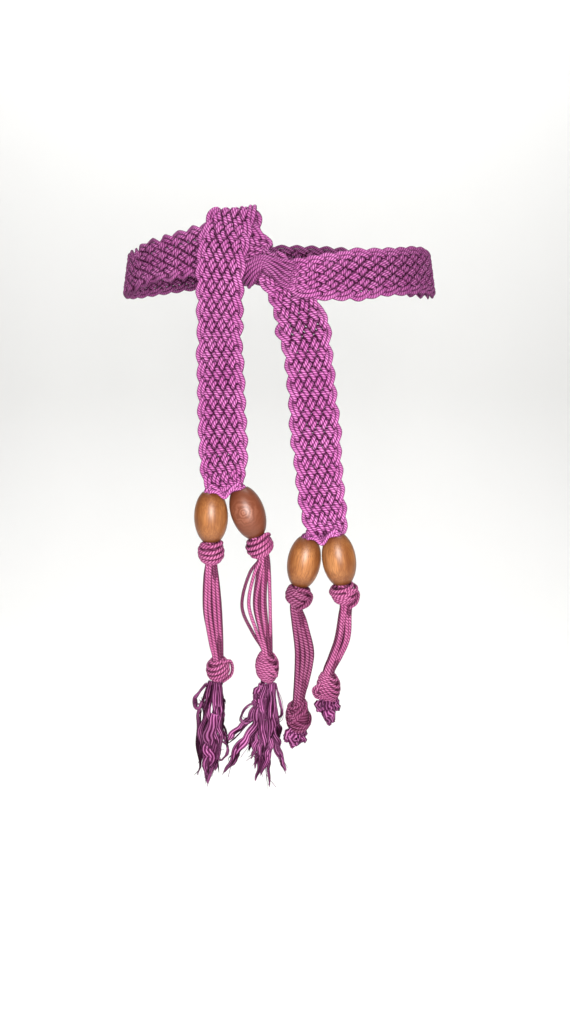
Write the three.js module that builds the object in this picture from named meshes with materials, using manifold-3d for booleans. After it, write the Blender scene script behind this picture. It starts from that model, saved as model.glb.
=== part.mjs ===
import * as THREE from 'three';
import { mergeVertices } from 'three/addons/utils/BufferGeometryUtils.js';
import Module from 'manifold-3d';

// A plaited rope belt, worn once round a waist and tied at the front with a half knot.
// Millimetres, +Z up, +X to the right as seen from the front, the front facing -Y.
// The origin is the middle of the worn waist, halfway up the band's side.

// Waist that the belt is worn on
const waistHalfWidth = 116.5;
const waistHalfDepth = 84;
const waistFlare = 0.165;
const bellyDepth = 26;
const bellyDrop = 170;
const wearGap = 0.5;

// Plaited band
const bandWidth = 35;
const bandThickness = 5.2;
const layerGap = 0.8;
const backRise = 20;
// The knot sits this far to the left of the waist's middle
const knotShift = 3.5;
const leftDrop = 153;
const rightDrop = 184;

// Beads, cords and knots on the four tails
const beadDiameter = 23.4;
const beadLength = 34.6;
const beadBore = 10;
const beadRim = 11.6;
const bundleDiameter = 8.6;
const seatGap = 0.3;
const upperKnotWide = 19.5;
const upperKnotTall = 15.5;
const lowerKnotWide = 17;
const lowerKnotTall = 23;
const bareLength = 69;
const knotWallRidge = 0.9;
const lockWidth = 6;
const tasselLength = 75.5;
const stubLength = 16;

// How finely the soft forms are divided
const knotStep = 5;
const plainStep = 11;
const bandSides = 10;
const bundleSides = 10;
const lockSides = 5;

const layerPitch = bandThickness + layerGap;
const radians = THREE.MathUtils.degToRad;
const up = new THREE.Vector3(0, 0, 1);

const cordMaterial = new THREE.MeshStandardMaterial({ color: 0xa8489c, roughness: 0.75, metalness: 0 });
const frayMaterial = new THREE.MeshStandardMaterial({ color: 0x93408f, roughness: 0.9, metalness: 0 });
const woodMaterial = new THREE.MeshStandardMaterial({ color: 0xa4622f, roughness: 0.4, metalness: 0 });

// The waist is an ellipse that spreads downwards; under it the belly pushes the hanging ends forward
function waistAt(height) {
  const below = Math.min(Math.max(-height, 0) / bellyDrop, 1);
  return {
    halfWidth: waistHalfWidth - waistFlare * Math.max(height, -bandWidth),
    halfDepth: waistHalfDepth - waistFlare * Math.max(height, 0) + bellyDepth * Math.sin(below * Math.PI / 2),
  };
}

function skinPoint(around, height) {
  const { halfWidth, halfDepth } = waistAt(height);
  return new THREE.Vector3(halfWidth * Math.sin(around), -halfDepth * Math.cos(around), height);
}

// A point on the waist, lifted off it by whole or part layers of the band
function worn(around, height, layer) {
  const small = 0.01;
  const point = skinPoint(around, height);
  const sideways = skinPoint(around + small, height).sub(point);
  const upwards = skinPoint(around, height + small).sub(point);
  const outward = sideways.cross(upwards).normalize();
  const lift = wearGap + bandThickness / 2 + (layer - 1) * layerPitch;
  return { at: point.addScaledVector(outward, lift), outward };
}

// One section of the band: turn tips its outer face from outward (0) through up (90) to inward (180),
// and lean swings that up direction to the right
function bandSection(around, height, { layer = 1, turn = 0, lean = 0, wide = 1, thick = 1 }) {
  const { at, outward } = worn(around, height, layer);
  const upward = new THREE.Vector3(Math.sin(radians(lean)), 0, Math.cos(radians(lean)));
  const face = outward.clone().multiplyScalar(Math.cos(radians(turn)));
  face.addScaledVector(upward, Math.sin(radians(turn)));
  return { at, face, wide: wide * bandWidth, thick: thick * bandThickness };
}

const frontAngle = (across) => Math.asin((across * bandWidth - knotShift) / waistHalfWidth);

// Across and up are shares of the band's width, drop is a share of the hanging end's own drop
const frontSection = (row) => bandSection(frontAngle(row.across), row.up * bandWidth, row);
const hangingSection = (drop) => (row) => bandSection(frontAngle(row.across), -row.drop * drop, row);

const leftEndRows = [
  { drop: 1.00, across: -0.8, layer: 2.40, wide: 0.75, thick: 1.25 },
  { drop: 0.96, across: -0.85, layer: 2.25, wide: 0.92, thick: 1.10 },
  { drop: 0.91, across: -0.875, layer: 1.75, wide: 1.01 },
  { drop: 0.82, across: -0.92, layer: 1.10, wide: 1.06 },
  { drop: 0.66, across: -0.95, wide: 1.04 },
  { drop: 0.52, across: -0.965, wide: 1.01 },
  { drop: 0.39, across: -0.99 },
  { drop: 0.28, across: -0.97, layer: 1.35 },
];
const leftKnotRows = [
  { across: -0.91, up: -0.82, layer: 2.75 },
  { across: -0.86, up: -0.41, layer: 4.15 },
  { across: -0.84, up: 0.01, layer: 4.25 },
  { across: -0.82, up: 0.36, layer: 3.70 },
  { across: -0.77, up: 0.66, layer: 3.20, wide: 0.98 },
  { across: -0.725, up: 0.845, layer: 2.90, turn: 45, lean: -6, wide: 0.94 },
  { across: -0.705, up: 0.905, layer: 2.05, turn: 90, lean: -6, wide: 0.91 },
  { across: -0.705, up: 0.85, layer: 1.20, turn: 135, lean: -4, wide: 0.93 },
  { across: -0.7, up: 0.68, layer: 0.90, turn: 175, wide: 0.94 },
  { across: -0.66, up: 0.42, layer: 0.85, turn: 180, wide: 0.85 },
  { across: -0.6, up: 0.16, layer: 0.76, turn: 180, wide: 0.70, thick: 1.12 },
  { across: -0.52, up: -0.1, layer: 0.76, turn: 195, lean: 40, wide: 0.54, thick: 1.22 },
  { across: -0.47, up: -0.385, layer: 1.92, turn: 270, lean: 46, wide: 0.42, thick: 1.20 },
  { across: -0.33, up: -0.3, layer: 3.26, turn: 345, lean: 45, wide: 0.34, thick: 1.30 },
];
const rightBandRows = [
  { across: -0.18, up: -0.2, layer: 3.24, wide: 0.29, thick: 1.32 },
  { across: 0, up: -0.25, layer: 2.98, wide: 0.37, thick: 1.30 },
  { across: 0.2, up: -0.325, layer: 2.64, wide: 0.53, thick: 1.24 },
  { across: 0.42, up: -0.385, layer: 2.37, wide: 0.69, thick: 1.12 },
  { across: 0.66, up: -0.405, layer: 2.18, wide: 0.83, thick: 1.04 },
  { across: 0.9, up: -0.375, layer: 2.05, wide: 0.93 },
  { across: 1.16, up: -0.33, layer: 1.60, wide: 0.98 },
  { across: 1.45, up: -0.27, layer: 1.12 },
  { across: 2.02, up: -0.17 },
  { across: 2.57, up: -0.1 },
];
const leftBandRows = [
  { across: -2.59, up: 0.11 },
  { across: -2.22, up: 0.14 },
  { across: -1.86, up: 0.18, layer: 1.12, wide: 1.02 },
  { across: -1.47, up: 0.2, layer: 1.72, wide: 1.08 },
  { across: -1.17, up: 0.23, layer: 2.06, wide: 1.02 },
  { across: -0.88, up: 0.295, layer: 2.08, wide: 0.93 },
  { across: -0.62, up: 0.34, layer: 2.06, wide: 0.87 },
  { across: -0.425, up: 0.24, layer: 2.04, wide: 0.76 },
  { across: -0.27, up: 0.075, layer: 1.93, wide: 0.70 },
  { across: -0.1, up: -0.12, layer: 1.76, wide: 0.70 },
  { across: 0.09, up: -0.32, layer: 1.40, wide: 0.76 },
  { across: 0.27, up: -0.55, layer: 1.08, wide: 0.86 },
  { across: 0.39, up: -0.8, wide: 0.95 },
];
const rightEndRows = [
  { drop: 0.215, across: 0.51 },
  { drop: 0.325, across: 0.63 },
  { drop: 0.510, across: 0.73 },
  { drop: 0.695, across: 0.81 },
  { drop: 0.850, across: 0.88, layer: 1.1, wide: 0.99 },
  { drop: 0.925, across: 0.91, layer: 1.75, wide: 0.96 },
  { drop: 0.965, across: 0.93, layer: 2.25, wide: 0.90, thick: 1.10 },
  { drop: 1.000, across: 0.94, layer: 2.4, wide: 0.78, thick: 1.25 },
];

// From hip to hip round the back the band lies flat on the waist and rises a little behind
const backStart = radians(63);
const backEnd = radians(297);
const backParts = 18;
function backSections() {
  const sections = [];
  for (let i = 0; i <= backParts; i += 1) {
    const around = THREE.MathUtils.lerp(backStart, backEnd, i / backParts);
    const behind = Math.max(0, -Math.cos(around));
    sections.push(bandSection(around, backRise * behind ** 1.5, {}));
  }
  return sections;
}

// The band's sections in order, from the left hanging end round the waist to the right hanging end
const bandSections = [
  ...leftEndRows.map(hangingSection(leftDrop)),
  ...leftKnotRows.map(frontSection),
  ...rightBandRows.map(frontSection),
  ...backSections(),
  ...leftBandRows.map(frontSection),
  ...rightEndRows.map(hangingSection(rightDrop)),
];

// Smooth sections between the given ones, each with its side, face and size; both ends are cut level
function smoothSections(sections, stepAt) {
  const path = new THREE.CatmullRomCurve3(sections.map((section) => section.at));
  const faces = new THREE.CatmullRomCurve3(sections.map((section) => section.face));
  const sizes = new THREE.CatmullRomCurve3(
    sections.map((section) => new THREE.Vector3(section.wide, section.thick, 0)),
  );
  const spans = sections.length - 1;
  const result = [];
  const add = (share) => {
    const along = path.getTangent(share);
    if (share === 0 || share === 1) along.set(0, 0, Math.sign(along.z));
    const side = along.clone().cross(faces.getPoint(share)).normalize();
    const face = side.clone().cross(along).normalize();
    const size = sizes.getPoint(share);
    result.push({ at: path.getPoint(share), along, side, face, wide: size.x, thick: size.y });
  };
  for (let i = 0; i < spans; i += 1) {
    const length = sections[i].at.distanceTo(sections[i + 1].at);
    const parts = Math.max(1, Math.round(length / stepAt(i)));
    for (let part = 0; part < parts; part += 1) add((i + part / parts) / spans);
  }
  add(1);
  return result;
}

function closedGeometry(positions, indices) {
  const geometry = new THREE.BufferGeometry();
  geometry.setAttribute('position', new THREE.Float32BufferAttribute(positions, 3));
  geometry.setIndex(indices);
  geometry.computeVertexNormals();
  return geometry;
}

// A closed skin through sections; squareness 1 is an ellipse and less than 1 a rounded rectangle
function loft(sections, sides, squareness) {
  const positions = [];
  const indices = [];
  const rounded = (value) => Math.sign(value) * Math.abs(value) ** squareness;
  for (const { at, side, face, wide, thick } of sections) {
    for (let k = 0; k < sides; k += 1) {
      const angle = (k + 0.5) / sides * Math.PI * 2;
      const point = at.clone();
      point.addScaledVector(side, rounded(Math.cos(angle)) * wide / 2);
      point.addScaledVector(face, rounded(Math.sin(angle)) * thick / 2);
      positions.push(...point);
    }
  }
  for (let i = 0; i + 1 < sections.length; i += 1) {
    for (let k = 0; k < sides; k += 1) {
      const next = (k + 1) % sides;
      const [a, b] = [i * sides + k, i * sides + next];
      const [c, d] = [a + sides, b + sides];
      indices.push(a, c, b, b, c, d);
    }
  }
  const last = (sections.length - 1) * sides;
  const startCentre = positions.length / 3;
  positions.push(...sections[0].at, ...sections[sections.length - 1].at);
  for (let k = 0; k < sides; k += 1) {
    const next = (k + 1) % sides;
    indices.push(startCentre, k, next);
    indices.push(startCentre + 1, last + next, last + k);
  }
  return closedGeometry(positions, indices);
}

function wovenBand() {
  const plainFrom = leftEndRows.length + leftKnotRows.length + rightBandRows.length - 3;
  const plainTo = plainFrom + backParts + 5;
  const knotFrom = leftEndRows.length - 1;
  const knotTo = bandSections.length - rightEndRows.length;
  const stepAt = (i) => {
    if (i < knotFrom || i > knotTo) return plainStep;
    return i > plainFrom && i < plainTo ? plainStep : knotStep;
  };
  return loft(smoothSections(bandSections, stepAt), bandSides, 0.5);
}

// The four tails, two at each end of the band: across and drop seat the bead under the band's end
// as shares of the bead's diameter and lean tips it to the right. The bare cords' length, their bow
// and the shift of the lower knot are shares of bareLength, and the rest are shares of the named
// size that each one sets.
const tails = [
  {
    name: 'left_outer', end: 'left', across: -0.445, drop: 0.14, forward: 0, lean: -0.8,
    bare: 1, shift: 0.052, bow: -0.02, spread: 1.6, upperWide: 0.944,
    lowerWide: 1, lowerTall: 0.761, lump: 0.45, lumpAt: 20,
  },
  {
    name: 'left_inner', end: 'left', across: 0.39, drop: 0.06, forward: 0, lean: 19,
    bare: 1, shift: 0.03, bow: -0.06, spread: 2.1, upperWide: 1,
    lowerWide: 1, lowerTall: 1, lump: 0, lumpAt: 0,
  },
  {
    name: 'right_inner', end: 'right', across: -0.55, drop: 0.20, forward: -0.13, lean: -9.4,
    bare: 1.01, shift: 0.03, bow: 0.07, spread: 1.55, upperWide: 0.99,
    lowerWide: 1.118, lowerTall: 1.087, lump: 0, lumpAt: 0,
  },
  {
    name: 'right_outer', end: 'right', across: 0.24, drop: 0.055, forward: 0.16, lean: 9.1,
    bare: 0.71, shift: -0.167, bow: 0.055, spread: 1.2, upperWide: 1.026,
    lowerWide: 1, lowerTall: 0.978, lump: 0.3, lumpAt: 185,
  },
];

const bandEnds = { left: bandSections[0].at, right: bandSections[bandSections.length - 1].at };

// Where everything on one tail sits, from the band's end down to the lower knot
function tailPlaces(tail) {
  const end = bandEnds[tail.end];
  const axis = new THREE.Vector3(Math.sin(radians(tail.lean)), 0, -Math.cos(radians(tail.lean)));
  const beadTop = end.clone().add(
    new THREE.Vector3(tail.across, -tail.forward, -tail.drop).multiplyScalar(beadDiameter),
  );
  const start = beadTop.clone().addScaledVector(axis, (end.z - seatGap - beadTop.z) / axis.z);
  const upperKnot = beadTop.clone().addScaledVector(axis, beadLength + seatGap + upperKnotTall / 2);
  const bareTop = upperKnot.clone().addScaledVector(axis, upperKnotTall / 2);
  const hang = new THREE.Vector3(tail.shift, 0, -tail.bare).multiplyScalar(bareLength);
  const bareBottom = bareTop.clone().add(hang);
  const tall = tail.lowerTall * lowerKnotTall;
  const lowerKnot = bareBottom.clone().addScaledVector(up, -tall / 2);
  const lowerEnd = lowerKnot.clone().addScaledVector(up, -tall / 2);
  const finish = lowerKnot.clone().addScaledVector(up, -tall / 4);
  const beadCentre = beadTop.clone().addScaledVector(axis, beadLength / 2);
  return {
    axis, start, beadTop, beadCentre, upperKnot, bareTop, bareBottom, lowerKnot, lowerEnd, finish,
  };
}

// An oval wooden bead, turned round and drilled end to end, with flat rims round the bore
function bead() {
  const half = beadLength / 2;
  const steps = 10;
  const profile = [];
  for (let i = 0; i <= steps; i += 1) {
    const share = i / steps * 2 - 1;
    const swell = Math.sqrt(1 - share ** 2);
    profile.push(new THREE.Vector2(THREE.MathUtils.lerp(beadRim, beadDiameter, swell) / 2, share * half));
  }
  profile.push(new THREE.Vector2(beadBore / 2, half), new THREE.Vector2(beadBore / 2, -half));
  profile.push(profile[0].clone());
  const geometry = new THREE.LatheGeometry(profile, 20);
  geometry.rotateX(Math.PI / 2);
  return geometry;
}

// A knot of cord drawn tight round the bundle: a thick ring with slanting wraps and an open middle
function knot({ wide, tall, wraps, lump, lumpAt }) {
  const around = 16;
  const rows = 9;
  const bore = bundleDiameter / 2 + seatGap;
  const positions = [];
  const indices = [];
  for (let j = 0; j < around; j += 1) {
    const angle = j / around * Math.PI * 2;
    const away = Math.cos(angle - radians(lumpAt));
    for (let i = 0; i < rows; i += 1) {
      const tip = radians(THREE.MathUtils.lerp(78, -78, i / (rows - 1)));
      const wrap = Math.cos((i / (rows - 1) * wraps + Math.sin(angle) * 0.4) * Math.PI * 2);
      const bulge = 1 + lump * Math.max(0, away) ** 6 * Math.cos(tip);
      const wall = (wide / 2 - bore - knotWallRidge) * Math.cos(tip) ** 0.85;
      const radius = bore + wall * bulge + knotWallRidge * (0.6 + 0.4 * wrap);
      positions.push(radius * Math.cos(angle), radius * Math.sin(angle), tall / 2 * Math.sin(tip));
    }
    for (const end of [-1, 1]) {
      positions.push(bore * Math.cos(angle), bore * Math.sin(angle), end * tall * 0.46);
    }
  }
  const perRow = rows + 2;
  for (let j = 0; j < around; j += 1) {
    for (let i = 0; i < perRow; i += 1) {
      const next = (i + 1) % perRow;
      const other = (j + 1) % around;
      const [a, b] = [j * perRow + i, j * perRow + next];
      const [c, d] = [other * perRow + i, other * perRow + next];
      indices.push(a, b, c, b, d, c);
    }
  }
  return closedGeometry(positions, indices);
}

// The cords of one tail as a thick bundle, from the band's end through bead and knots
function bundle(tail, places) {
  const { axis, start, beadTop, beadCentre, upperKnot, bareTop, bareBottom, lowerKnot, finish } = places;
  const beadEnd = beadTop.clone().addScaledVector(axis, beadLength);
  const bareAt = (share, bow) => {
    const point = bareTop.clone().lerp(bareBottom, share);
    return point.add(new THREE.Vector3(bow * tail.bow * bareLength, 0, 0));
  };
  const rows = [
    { at: start, wide: 1, thick: 1 },
    { at: beadCentre, wide: 1, thick: 1 },
    { at: beadEnd, wide: 1, thick: 1 },
    { at: upperKnot, wide: 1, thick: 1 },
    { at: bareTop, wide: 1, thick: 1 },
    { at: bareAt(0.2, 0.45), wide: (1 + tail.spread) / 2, thick: 1.05 },
    { at: bareAt(0.5, 1), wide: tail.spread, thick: 1.15 },
    { at: bareAt(0.78, 0.5), wide: (1 + tail.spread) / 2, thick: 1.05 },
    { at: bareBottom, wide: 0.98, thick: 0.98 },
    { at: lowerKnot, wide: 0.98, thick: 0.98 },
    { at: finish, wide: 0.98, thick: 0.98 },
  ];
  const sections = rows.map((row) => ({
    at: row.at,
    face: new THREE.Vector3(0, -1, 0),
    wide: row.wide * bundleDiameter,
    thick: row.thick * bundleDiameter,
  }));
  return loft(smoothSections(sections, () => plainStep), bundleSides, 1);
}

const wasm = await Module();
wasm.setup();

function toSolid(geometry) {
  const bare = geometry.clone();
  bare.deleteAttribute('normal');
  if (bare.attributes.uv) bare.deleteAttribute('uv');
  const merged = mergeVertices(bare);
  return new wasm.Manifold(new wasm.Mesh({
    numProp: 3,
    vertProperties: new Float32Array(merged.attributes.position.array),
    triVerts: new Uint32Array(merged.index.array),
  }));
}

function fuse(geometries) {
  const solids = geometries.map(toSolid);
  const joined = solids.slice(1).reduce((sum, solid) => sum.add(solid), solids[0]);
  const mesh = joined.getMesh();
  return closedGeometry(Array.from(mesh.vertProperties), Array.from(mesh.triVerts));
}

// One frayed lock: a flat strip that leaves the head, sways and ends in a point
function lock(root, row, length) {
  const { across, forward, sway } = row;
  const wide = row.wide * lockWidth;
  const shares = [
    { down: -0.04, out: 0, size: 0.8 },
    { down: 0.22, out: 0.35, size: 1 },
    { down: 0.55, out: 0.75, size: 1.1 },
    { down: 0.82, out: 0.95, size: 0.7 },
    { down: 1, out: 1, size: 0.16 },
  ];
  const sections = shares.map(({ down, out, size }) => {
    const swing = Math.sin(down * Math.PI * 2) * sway;
    const offset = new THREE.Vector3(across * out + swing, -forward * out, -down * row.reach);
    return {
      at: root.clone().addScaledVector(offset, length),
      face: new THREE.Vector3(forward * 9, -1, 0),
      wide: wide * size,
      thick: wide * size * 0.6,
    };
  });
  return loft(smoothSections(sections, () => plainStep), lockSides, 1);
}

// Frayed cords below a lower knot: a short head held in the knot, with locks fused to it
function frayedEnd(places, rows, length) {
  const top = places.finish.clone().addScaledVector(up, -seatGap);
  const bottom = places.lowerEnd.clone().addScaledVector(up, -bundleDiameter * 0.47);
  const headSections = [
    { at: top, wide: 0.95 },
    { at: top.clone().lerp(bottom, 0.6), wide: 0.95 },
    { at: bottom, wide: 1.1 },
    { at: bottom.clone().addScaledVector(up, -bundleDiameter * 0.7), wide: 0.5 },
  ].map(({ at, wide }) => ({
    at,
    face: new THREE.Vector3(0, -1, 0),
    wide: wide * bundleDiameter,
    thick: wide * bundleDiameter,
  }));
  const head = loft(smoothSections(headSections, () => plainStep), bundleSides, 1);
  const locks = rows.map((row) => {
    const fromMiddle = new THREE.Vector3(row.rootAcross, -row.rootForward, 0);
    return lock(bottom.clone().addScaledVector(fromMiddle, bundleDiameter), row, length);
  });
  return fuse([head, ...locks]);
}

// Locks of each frayed end: the roots are shares of the bundle's diameter, wide is a share of the
// lock's width, and the rest are shares of the frayed length
const frayRows = {
  left_outer: [
    { rootAcross: -0.29, rootForward: 0.06, across: -0.106, forward: 0.027, reach: 0.72, sway: -0.029, wide: 1 },
    { rootAcross: -0.17, rootForward: -0.23, across: -0.146, forward: -0.027, reach: 0.93, sway: 0.021, wide: 0.67 },
    { rootAcross: 0, rootForward: 0.17, across: -0.027, forward: 0.04, reach: 0.9, sway: 0.019, wide: 1.17 },
    { rootAcross: 0.06, rootForward: -0.17, across: -0.052, forward: -0.013, reach: 1, sway: 0.013, wide: 1 },
    { rootAcross: 0.17, rootForward: 0.12, across: 0.013, forward: 0.013, reach: 0.97, sway: -0.018, wide: 1 },
    { rootAcross: 0.29, rootForward: -0.12, across: 0.079, forward: -0.052, reach: 0.66, sway: 0.024, wide: 0.83 },
    { rootAcross: 0.33, rootForward: -0.12, across: 0.119, forward: -0.066, reach: 0.78, sway: -0.013, wide: 0.58 },
  ],
  left_inner: [
    { rootAcross: -0.33, rootForward: 0.12, across: -0.43, forward: 0.093, reach: 0.88, sway: 0.033, wide: 1 },
    { rootAcross: -0.23, rootForward: 0.17, across: -0.199, forward: 0.052, reach: 0.62, sway: 0.027, wide: 1 },
    { rootAcross: -0.12, rootForward: -0.17, across: -0.093, forward: -0.027, reach: 0.82, sway: -0.013, wide: 0.83 },
    { rootAcross: -0.06, rootForward: 0.17, across: -0.066, forward: 0.04, reach: 0.95, sway: 0.021, wide: 1 },
    { rootAcross: 0.06, rootForward: -0.12, across: 0, forward: -0.013, reach: 1, sway: 0.013, wide: 0.83 },
    { rootAcross: 0.17, rootForward: 0.12, across: 0.04, forward: 0.013, reach: 0.99, sway: -0.016, wide: 0.83 },
    { rootAcross: 0.29, rootForward: 0, across: 0.172, forward: 0, reach: 0.84, sway: 0.024, wide: 0.83 },
  ],
  right_inner: [
    { rootAcross: -0.23, rootForward: 0.06, across: -0.188, forward: 0.062, reach: 0.55, sway: 0, wide: 1.17 },
    { rootAcross: 0, rootForward: 0.06, across: -0.062, forward: 0.062, reach: 0.75, sway: 0, wide: 1.33 },
    { rootAcross: 0.23, rootForward: 0, across: 0.188, forward: 0, reach: 0.5, sway: 0, wide: 1.17 },
  ],
  right_outer: [
    { rootAcross: -0.23, rootForward: 0, across: -0.25, forward: 0, reach: 0.65, sway: 0, wide: 1.17 },
    { rootAcross: 0, rootForward: 0.12, across: 0.062, forward: 0.062, reach: 1.15, sway: 0, wide: 1.33 },
    { rootAcross: 0.23, rootForward: 0, across: 0.25, forward: 0, reach: 0.6, sway: 0, wide: 1.17 },
  ],
};

const belt = new THREE.Group();

function addPiece(name, geometry, material, centre, lean = 0) {
  const piece = new THREE.Mesh(geometry, material.clone());
  piece.name = name;
  if (centre) piece.position.copy(centre);
  piece.rotation.y = -radians(lean);
  belt.add(piece);
}

addPiece('woven_band', wovenBand(), cordMaterial);
for (const tail of tails) {
  const places = tailPlaces(tail);
  const { lump, lumpAt, lean } = tail;
  const long = tail.end === 'left';
  addPiece(`cord_bundle_${tail.name}`, bundle(tail, places), cordMaterial);
  addPiece(`bead_${tail.name}`, bead(), woodMaterial, places.beadCentre, lean);
  const upperWide = tail.upperWide * upperKnotWide;
  const upper = knot({ wide: upperWide, tall: upperKnotTall, wraps: 3, lump: 0, lumpAt: 0 });
  addPiece(`upper_knot_${tail.name}`, upper, cordMaterial, places.upperKnot, lean);
  const lowerWide = tail.lowerWide * lowerKnotWide;
  const lowerTall = tail.lowerTall * lowerKnotTall;
  const lower = knot({ wide: lowerWide, tall: lowerTall, wraps: 4, lump, lumpAt });
  addPiece(`lower_knot_${tail.name}`, lower, cordMaterial, places.lowerKnot);
  const frayed = frayedEnd(places, frayRows[tail.name], long ? tasselLength : stubLength);
  addPiece(`${long ? 'tassel' : 'frayed_stub'}_${tail.name}`, frayed, frayMaterial);
}

export default belt;
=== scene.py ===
import math

import bpy
import numpy as np
from mathutils import Matrix, Vector


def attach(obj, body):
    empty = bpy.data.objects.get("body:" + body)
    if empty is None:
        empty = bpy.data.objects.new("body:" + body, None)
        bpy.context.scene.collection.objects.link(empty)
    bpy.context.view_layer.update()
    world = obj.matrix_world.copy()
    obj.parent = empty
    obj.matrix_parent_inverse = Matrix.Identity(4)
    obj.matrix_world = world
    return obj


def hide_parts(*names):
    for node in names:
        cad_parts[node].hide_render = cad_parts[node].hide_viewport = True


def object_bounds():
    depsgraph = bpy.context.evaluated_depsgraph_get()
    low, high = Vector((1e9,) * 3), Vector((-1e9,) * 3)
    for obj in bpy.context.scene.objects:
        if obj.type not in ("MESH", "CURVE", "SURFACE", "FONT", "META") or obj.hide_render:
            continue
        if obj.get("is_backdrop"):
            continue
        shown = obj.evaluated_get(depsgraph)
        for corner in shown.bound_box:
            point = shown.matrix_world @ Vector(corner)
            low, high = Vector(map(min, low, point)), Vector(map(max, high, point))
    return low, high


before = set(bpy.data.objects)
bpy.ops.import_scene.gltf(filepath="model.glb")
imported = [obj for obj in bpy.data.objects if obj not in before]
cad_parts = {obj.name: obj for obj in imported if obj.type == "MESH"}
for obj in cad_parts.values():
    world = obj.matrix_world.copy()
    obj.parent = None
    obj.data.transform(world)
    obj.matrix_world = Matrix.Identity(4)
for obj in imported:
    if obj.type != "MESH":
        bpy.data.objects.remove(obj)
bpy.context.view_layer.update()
scene = bpy.context.scene

# Camera
# The photograph looks at the belt from a little below the waist loop and about half a metre
# in front of the knot, with the lens tipped slightly down.
photo_height_pixels = 1013
focal_length_pixels = 761
sensor_mm = 36
camera_place = (0.0045, -0.633, -0.075)
camera_tip_degrees = 10
camera_data = bpy.data.cameras.new("camera")
camera_data.sensor_width = sensor_mm
camera_data.lens = sensor_mm * focal_length_pixels / photo_height_pixels
camera = bpy.data.objects.new("camera", camera_data)
camera.location = camera_place
camera.rotation_euler = (math.radians(90 - camera_tip_degrees), 0, 0)
scene.collection.objects.link(camera)
scene.camera = camera

# Route of the plaited band
# One flat band runs up the left hanging end, folds over the top of the knot, comes forward
# under the crossing band, goes round the waist and ends as the right hanging end.
band_width = 0.035
band_thickness = 0.0052
layer_gap = 0.0008
layer_pitch = band_thickness + layer_gap
wear_gap = 0.0005
waist_half_width = 0.1165
waist_half_depth = 0.084
waist_flare = 0.165
belly_depth = 0.026
belly_drop = 0.170
back_rise = 0.020
knot_shift = 0.0035
left_drop = 0.153
right_drop = 0.184

# Columns: drop as a share of the hanging end's drop, across, layer, width, thickness
left_end_rows = [
    (1, -0.8, 2.4, 0.75, 1.25),
    (0.96, -0.85, 2.25, 0.92, 1.1),
    (0.91, -0.875, 1.75, 1.01, 1),
    (0.82, -0.92, 1.1, 1.06, 1),
    (0.66, -0.95, 1, 1.04, 1),
    (0.52, -0.965, 1, 1.01, 1),
    (0.39, -0.99, 1, 1, 1),
    (0.28, -0.97, 1.35, 1, 1),
]
# Columns: across and up as shares of the band's width, layer, turn in degrees, width, thickness
# and, where the band is tipped sideways, its lean in degrees
left_knot_rows = [
    (-0.91, -0.82, 2.75, 0, 1, 1),
    (-0.86, -0.41, 4.15, 0, 1, 1),
    (-0.84, 0.01, 4.25, 0, 1, 1),
    (-0.82, 0.36, 3.7, 0, 1, 1),
    (-0.77, 0.66, 3.2, 0, 0.98, 1),
    (-0.725, 0.845, 2.9, 45, 0.94, 1, -6),
    (-0.705, 0.905, 2.05, 90, 0.91, 1, -6),
    (-0.705, 0.85, 1.2, 135, 0.93, 1, -4),
    (-0.7, 0.68, 0.9, 175, 0.94, 1),
    (-0.66, 0.42, 0.85, 180, 0.85, 1),
    (-0.6, 0.16, 0.76, 180, 0.7, 1.12),
    (-0.52, -0.1, 0.76, 195, 0.54, 1.22, 40),
    (-0.47, -0.385, 1.92, 270, 0.42, 1.2, 46),
    (-0.33, -0.3, 3.26, 345, 0.34, 1.3, 45),
]
right_band_rows = [
    (-0.18, -0.2, 3.24, 0, 0.29, 1.32),
    (0, -0.25, 2.98, 0, 0.37, 1.3),
    (0.2, -0.325, 2.64, 0, 0.53, 1.24),
    (0.42, -0.385, 2.37, 0, 0.69, 1.12),
    (0.66, -0.405, 2.18, 0, 0.83, 1.04),
    (0.9, -0.375, 2.05, 0, 0.93, 1),
    (1.16, -0.33, 1.6, 0, 0.98, 1),
    (1.45, -0.27, 1.12, 0, 1, 1),
    (2.02, -0.17, 1, 0, 1, 1),
    (2.57, -0.1, 1, 0, 1, 1),
]
left_band_rows = [
    (-2.59, 0.11, 1, 0, 1, 1),
    (-2.22, 0.14, 1, 0, 1, 1),
    (-1.86, 0.18, 1.12, 0, 1.02, 1),
    (-1.47, 0.2, 1.72, 0, 1.08, 1),
    (-1.17, 0.23, 2.06, 0, 1.02, 1),
    (-0.88, 0.295, 2.08, 0, 0.93, 1),
    (-0.62, 0.34, 2.06, 0, 0.87, 1),
    (-0.425, 0.24, 2.04, 0, 0.76, 1),
    (-0.27, 0.075, 1.93, 0, 0.7, 1),
    (-0.1, -0.12, 1.76, 0, 0.7, 1),
    (0.09, -0.32, 1.4, 0, 0.76, 1),
    (0.27, -0.55, 1.08, 0, 0.86, 1),
    (0.39, -0.8, 1, 0, 0.95, 1),
]
right_end_rows = [
    (0.215, 0.51, 1, 1, 1),
    (0.325, 0.63, 1, 1, 1),
    (0.51, 0.73, 1, 1, 1),
    (0.695, 0.81, 1, 1, 1),
    (0.85, 0.88, 1.1, 0.99, 1),
    (0.925, 0.91, 1.75, 0.96, 1),
    (0.965, 0.93, 2.25, 0.9, 1.1),
    (1, 0.94, 2.4, 0.78, 1.25),
]
back_start, back_end, back_parts = 63, 297, 18


def unit(vectors):
    return vectors / np.linalg.norm(vectors, axis=-1, keepdims=True)


def skin_point(around, height):
    below = min(max(-height, 0) / belly_drop, 1)
    half_width = waist_half_width - waist_flare * max(height, -band_width)
    half_depth = waist_half_depth - waist_flare * max(height, 0)
    half_depth += belly_depth * math.sin(below * math.pi / 2)
    return np.array([half_width * math.sin(around), -half_depth * math.cos(around), height])


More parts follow.
